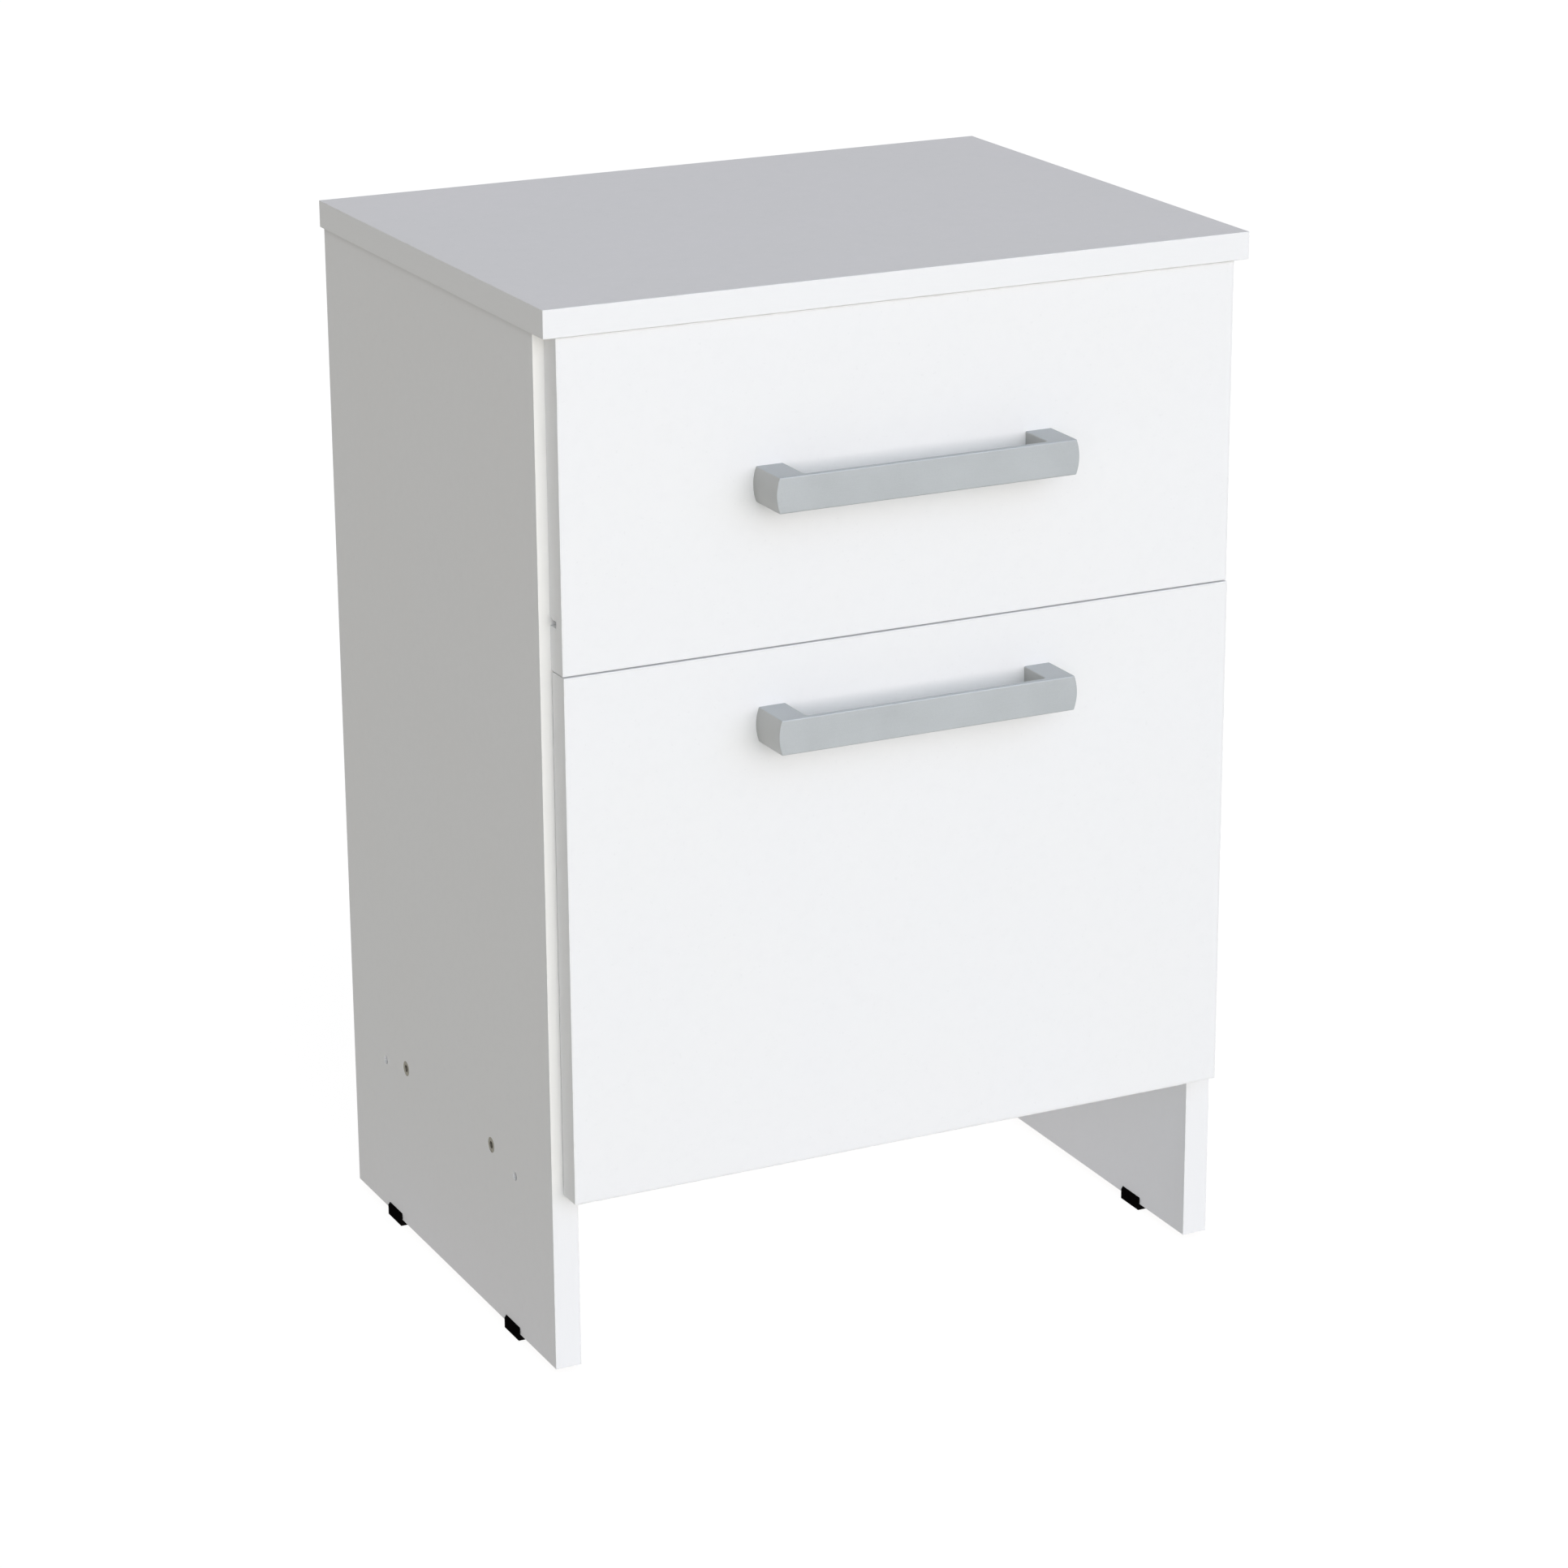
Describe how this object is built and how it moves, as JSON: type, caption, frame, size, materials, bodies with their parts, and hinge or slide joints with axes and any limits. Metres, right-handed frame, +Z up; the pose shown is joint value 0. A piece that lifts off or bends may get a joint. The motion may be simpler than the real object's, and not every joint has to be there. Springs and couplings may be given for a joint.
{
  "type": "bedside cabinet",
  "caption": "Small white board bedside cabinet on black clip feet, with a drawer on roller slides above a side-hung door and silver bow handles.",
  "frame": {"origin": "middle of the whole object's footprint, on the floor", "axes": "+Z up, -Y out of the front (the drawer and door side), +X to the right seen from the front"},
  "size_m": [0.411, 0.3382, 0.591],
  "materials": {
    "white_board": "white melamine on particle board, white edge band",
    "hardboard": "thin hardboard, white on its inner face",
    "beech": "plain fluted beech",
    "satin_silver": "satin silver",
    "black_plastic": "black moulded",
    "white_nylon": "white nylon",
    "clear_rubber": "translucent soft bumper",
    "white_sheet_steel": "white powder coat",
    "zinc_dark": "dull zinc",
    "nickel_steel": "nickel plated",
    "zinc_steel": "bright zinc"
  },
  "bodies": {
    "cabinet": {"back_panel": "hardboard", "back_panel_nails": "zinc_steel", "bottom_panel": "white_board", "cabinet_rail_screws": "zinc_steel", "confirmat_screws": "zinc_dark", "front_left_foot": "black_plastic", "front_right_foot": "black_plastic", "front_roller_axles": "zinc_steel", "hinge_arm_pins": "nickel_steel", "hinge_arm_screws": "zinc_steel", "hinge_arms": "nickel_steel", "hinge_mounting_plates": "nickel_steel", "hinge_plate_screws": "zinc_steel", "left_cabinet_rail": "white_sheet_steel", "left_side_panel": "white_board", "middle_shelf": "white_board", "rear_left_foot": "black_plastic", "rear_right_foot": "black_plastic", "right_cabinet_rail": "white_sheet_steel", "right_side_panel": "white_board", "shelf_cam_bolts": "zinc_steel", "shelf_cam_locks": "zinc_steel", "shelf_dowels": "beech", "top_cam_bolts": "zinc_steel", "top_cam_locks": "zinc_steel", "top_dowels": "beech", "top_panel": "white_board"},
    "drawer": {"drawer_back": "white_board", "drawer_back_screws": "zinc_steel", "drawer_bottom": "hardboard", "drawer_bottom_screws": "zinc_steel", "drawer_cam_bolts": "zinc_steel", "drawer_cam_locks": "zinc_steel", "drawer_dowels": "beech", "drawer_front": "white_board", "drawer_handle": "satin_silver", "drawer_handle_screws": "zinc_steel", "drawer_left_side": "white_board", "drawer_rail_screws": "zinc_steel", "drawer_right_side": "white_board", "left_drawer_rail": "white_sheet_steel", "rear_roller_axles": "zinc_steel", "right_drawer_rail": "white_sheet_steel"},
    "front_rollers": {"front_rollers": "white_nylon"},
    "rear_rollers": {"rear_rollers": "white_nylon"},
    "hinge_links": {"hinge_links": "nickel_steel"},
    "door": {"door_bumpers": "clear_rubber", "door_handle": "satin_silver", "door_handle_screws": "zinc_steel", "door_panel": "white_board", "hinge_cup_pins": "nickel_steel", "hinge_cup_screws": "zinc_steel", "hinge_cups": "nickel_steel"}
  },
  "joints": [
    {"name": "drawer_slide", "type": "slide", "parent": "cabinet", "child": "drawer", "axis": [0, -1, 0], "range_m": [0, 0.18]},
    {"name": "front_roller_spin", "type": "hinge", "parent": "cabinet", "child": "front_rollers", "pos_m": [0, -0.1134, 0.4177], "axis": [1, 0, 0], "continuous": true},
    {"name": "rear_roller_spin", "type": "hinge", "parent": "drawer", "child": "rear_rollers", "pos_m": [0, 0.1146, 0.4167], "axis": [1, 0, 0], "continuous": true},
    {"name": "hinge_link_swing", "type": "hinge", "parent": "cabinet", "child": "hinge_links", "pos_m": [0.1629, -0.1324, 0.2512], "axis": [0, 0, 1], "range_deg": [-27, 0.5]},
    {"name": "door_hinge", "type": "hinge", "parent": "hinge_links", "child": "door", "pos_m": [0.188, -0.1296, 0.2512], "axis": [0, 0, 1], "range_deg": [0, 121.2]}
  ],
  "couplings": [
    {"joint": "front_roller_spin", "follows": "drawer_slide", "rad_per_m": 125.79},
    {"joint": "rear_roller_spin", "follows": "drawer_slide", "rad_per_m": 125.79},
    {"joint": "hinge_link_swing", "follows": "door_hinge", "ratio": -0.2163}
  ]
}
